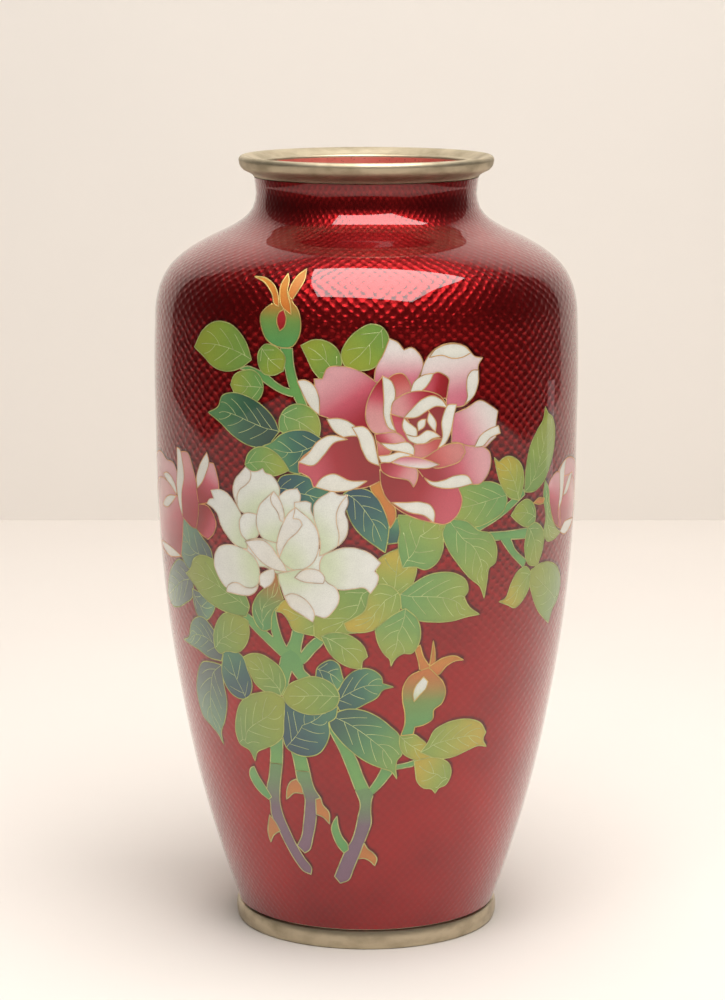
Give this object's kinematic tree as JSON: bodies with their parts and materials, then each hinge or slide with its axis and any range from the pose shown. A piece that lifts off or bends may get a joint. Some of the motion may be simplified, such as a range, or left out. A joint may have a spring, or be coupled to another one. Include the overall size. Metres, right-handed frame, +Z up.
{
  "type": "cloisonne vase",
  "caption": "Shouldered baluster vase in cloisonne enamel, rose spray on a transparent red ground over foil, with metal foot and mouth rings.",
  "frame": {"origin": "centre of the foot ring, on the plane the vase stands on", "axes": "+Z up along the axis of the vase, -Y towards the front of the rose spray"},
  "size_m": [0.1322, 0.1322, 0.2424],
  "materials": {
    "copper_body": "copper, satin",
    "silver_foil": "bright embossed foil",
    "counter_enamel": "glossy fired enamel",
    "base_enamel": "glossy fired enamel",
    "foot_ring": "satin white-gold coloured plating",
    "mouth_ring": "polished white-gold coloured plating",
    "red_ground_enamel": "transparent red enamel over foil, glossy",
    "pink_rose_petals": "glossy",
    "pink_rose_folds": "glossy",
    "white_rose_petals": "glossy",
    "left_rose_petals": "glossy",
    "right_rose_petals": "glossy",
    "rose_buds": "glossy",
    "light_green_leaves": "glossy",
    "green_leaves": "glossy",
    "yellow_leaves": "glossy",
    "teal_leaves": "glossy",
    "blue_grey_leaves": "glossy",
    "green_stems": "glossy",
    "brown_stems": "glossy",
    "thorns": "glossy",
    "pink_rose_wires": "polished pale gold silver wire",
    "white_rose_wires": "polished pale gold silver wire",
    "side_rose_wires": "polished pale gold silver wire",
    "bud_wires": "polished pale gold silver wire",
    "leaf_wires": "polished pale gold silver wire",
    "stem_wires": "polished pale gold silver wire"
  },
  "bodies": {
    "root": {"copper_body": "copper_body", "silver_foil": "silver_foil", "counter_enamel": "counter_enamel", "base_enamel": "base_enamel", "foot_ring": "foot_ring", "mouth_ring": "mouth_ring", "red_ground_enamel": "red_ground_enamel", "pink_rose_petals": "pink_rose_petals", "pink_rose_folds": "pink_rose_folds", "white_rose_petals": "white_rose_petals", "left_rose_petals": "left_rose_petals", "right_rose_petals": "right_rose_petals", "rose_buds": "rose_buds", "light_green_leaves": "light_green_leaves", "green_leaves": "green_leaves", "yellow_leaves": "yellow_leaves", "teal_leaves": "teal_leaves", "blue_grey_leaves": "blue_grey_leaves", "green_stems": "green_stems", "brown_stems": "brown_stems", "thorns": "thorns", "pink_rose_wires": "pink_rose_wires", "white_rose_wires": "white_rose_wires", "side_rose_wires": "side_rose_wires", "bud_wires": "bud_wires", "leaf_wires": "leaf_wires", "stem_wires": "stem_wires"}
  },
  "joints": []
}
